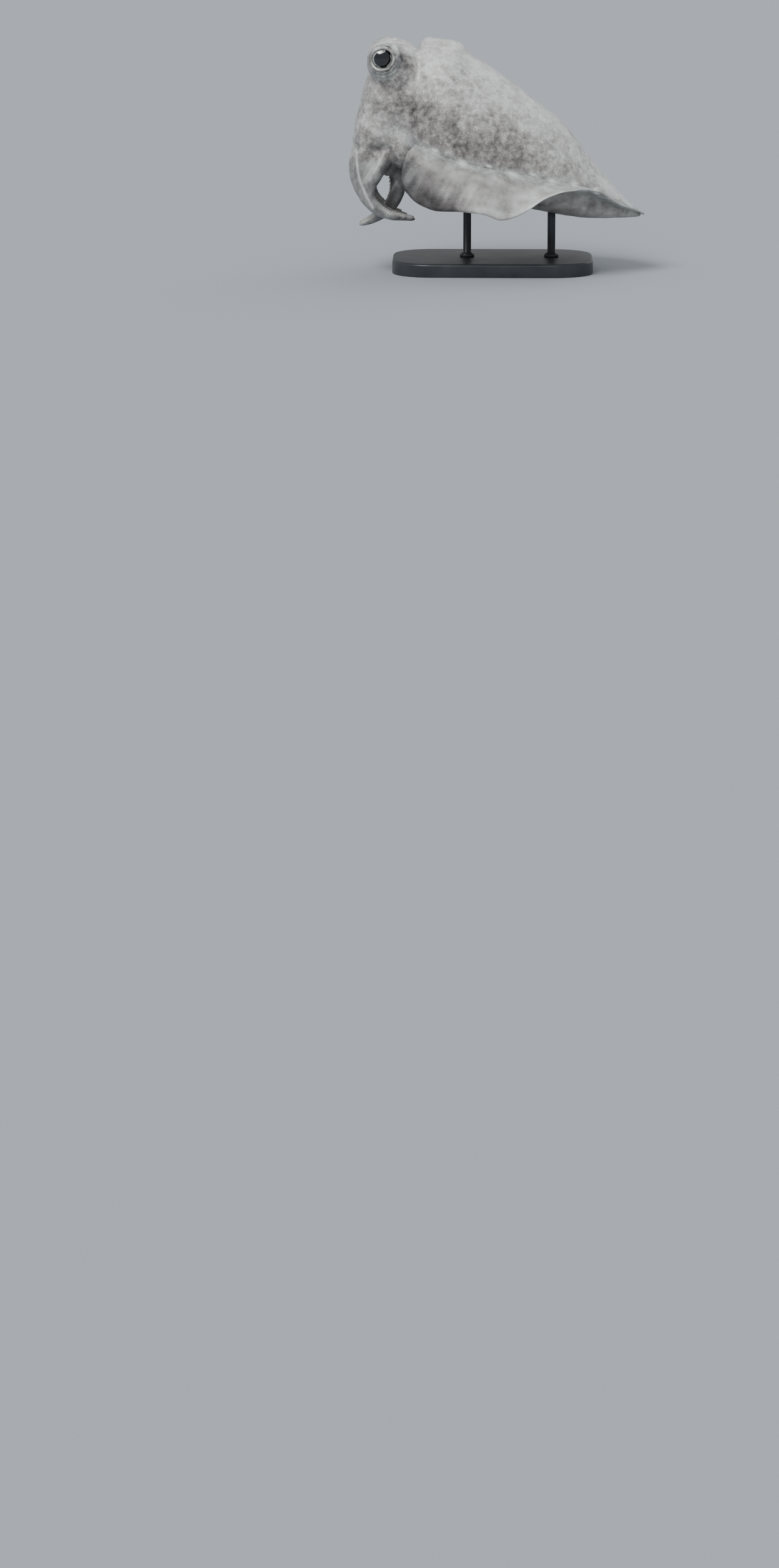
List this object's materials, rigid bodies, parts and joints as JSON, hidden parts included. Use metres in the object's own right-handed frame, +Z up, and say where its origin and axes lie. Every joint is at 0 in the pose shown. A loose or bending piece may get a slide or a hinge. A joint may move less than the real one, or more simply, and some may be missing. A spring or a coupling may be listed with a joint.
{
  "type": "common cuttlefish model",
  "caption": "Life-size still model of a common cuttlefish swimming with drooping, curled arms and waving side fins, held on a flat-based display stand.",
  "frame": {"origin": "centre of the model's bounding box at the underside of the stand's base", "axes": "+Z up, -X towards the head, -Y towards the animal's left side; the middle plane of the body is the XZ plane"},
  "size_m": [0.2252, 0.158, 0.1748],
  "materials": {
    "skin": "moist satin, pale and mottled",
    "fin_skin": "moist satin, paler",
    "eye": "wet gloss",
    "lips": "moist satin",
    "stand_metal": "dark satin paint"
  },
  "bodies": {
    "root": {"mantle": "skin", "head": "skin", "arm1_left_upper": "skin", "arm1_left_tip": "skin", "arm1_right_upper": "skin", "arm1_right_tip": "skin", "arm2_left_upper": "skin", "arm2_left_tip": "skin", "arm2_right_upper": "skin", "arm2_right_tip": "skin", "arm3_left_upper": "skin", "arm3_left_tip": "skin", "arm3_right_upper": "skin", "arm3_right_tip": "skin", "arm4_left_upper": "skin", "arm4_left_tip": "skin", "arm4_right_upper": "skin", "arm4_right_tip": "skin", "fin_left": "fin_skin", "fin_right": "fin_skin", "funnel": "fin_skin", "eye_left": "eye", "eye_right": "eye", "mouth": "lips", "stand_base": "stand_metal", "stand_rod_front": "stand_metal", "stand_rod_rear": "stand_metal"}
  },
  "joints": []
}
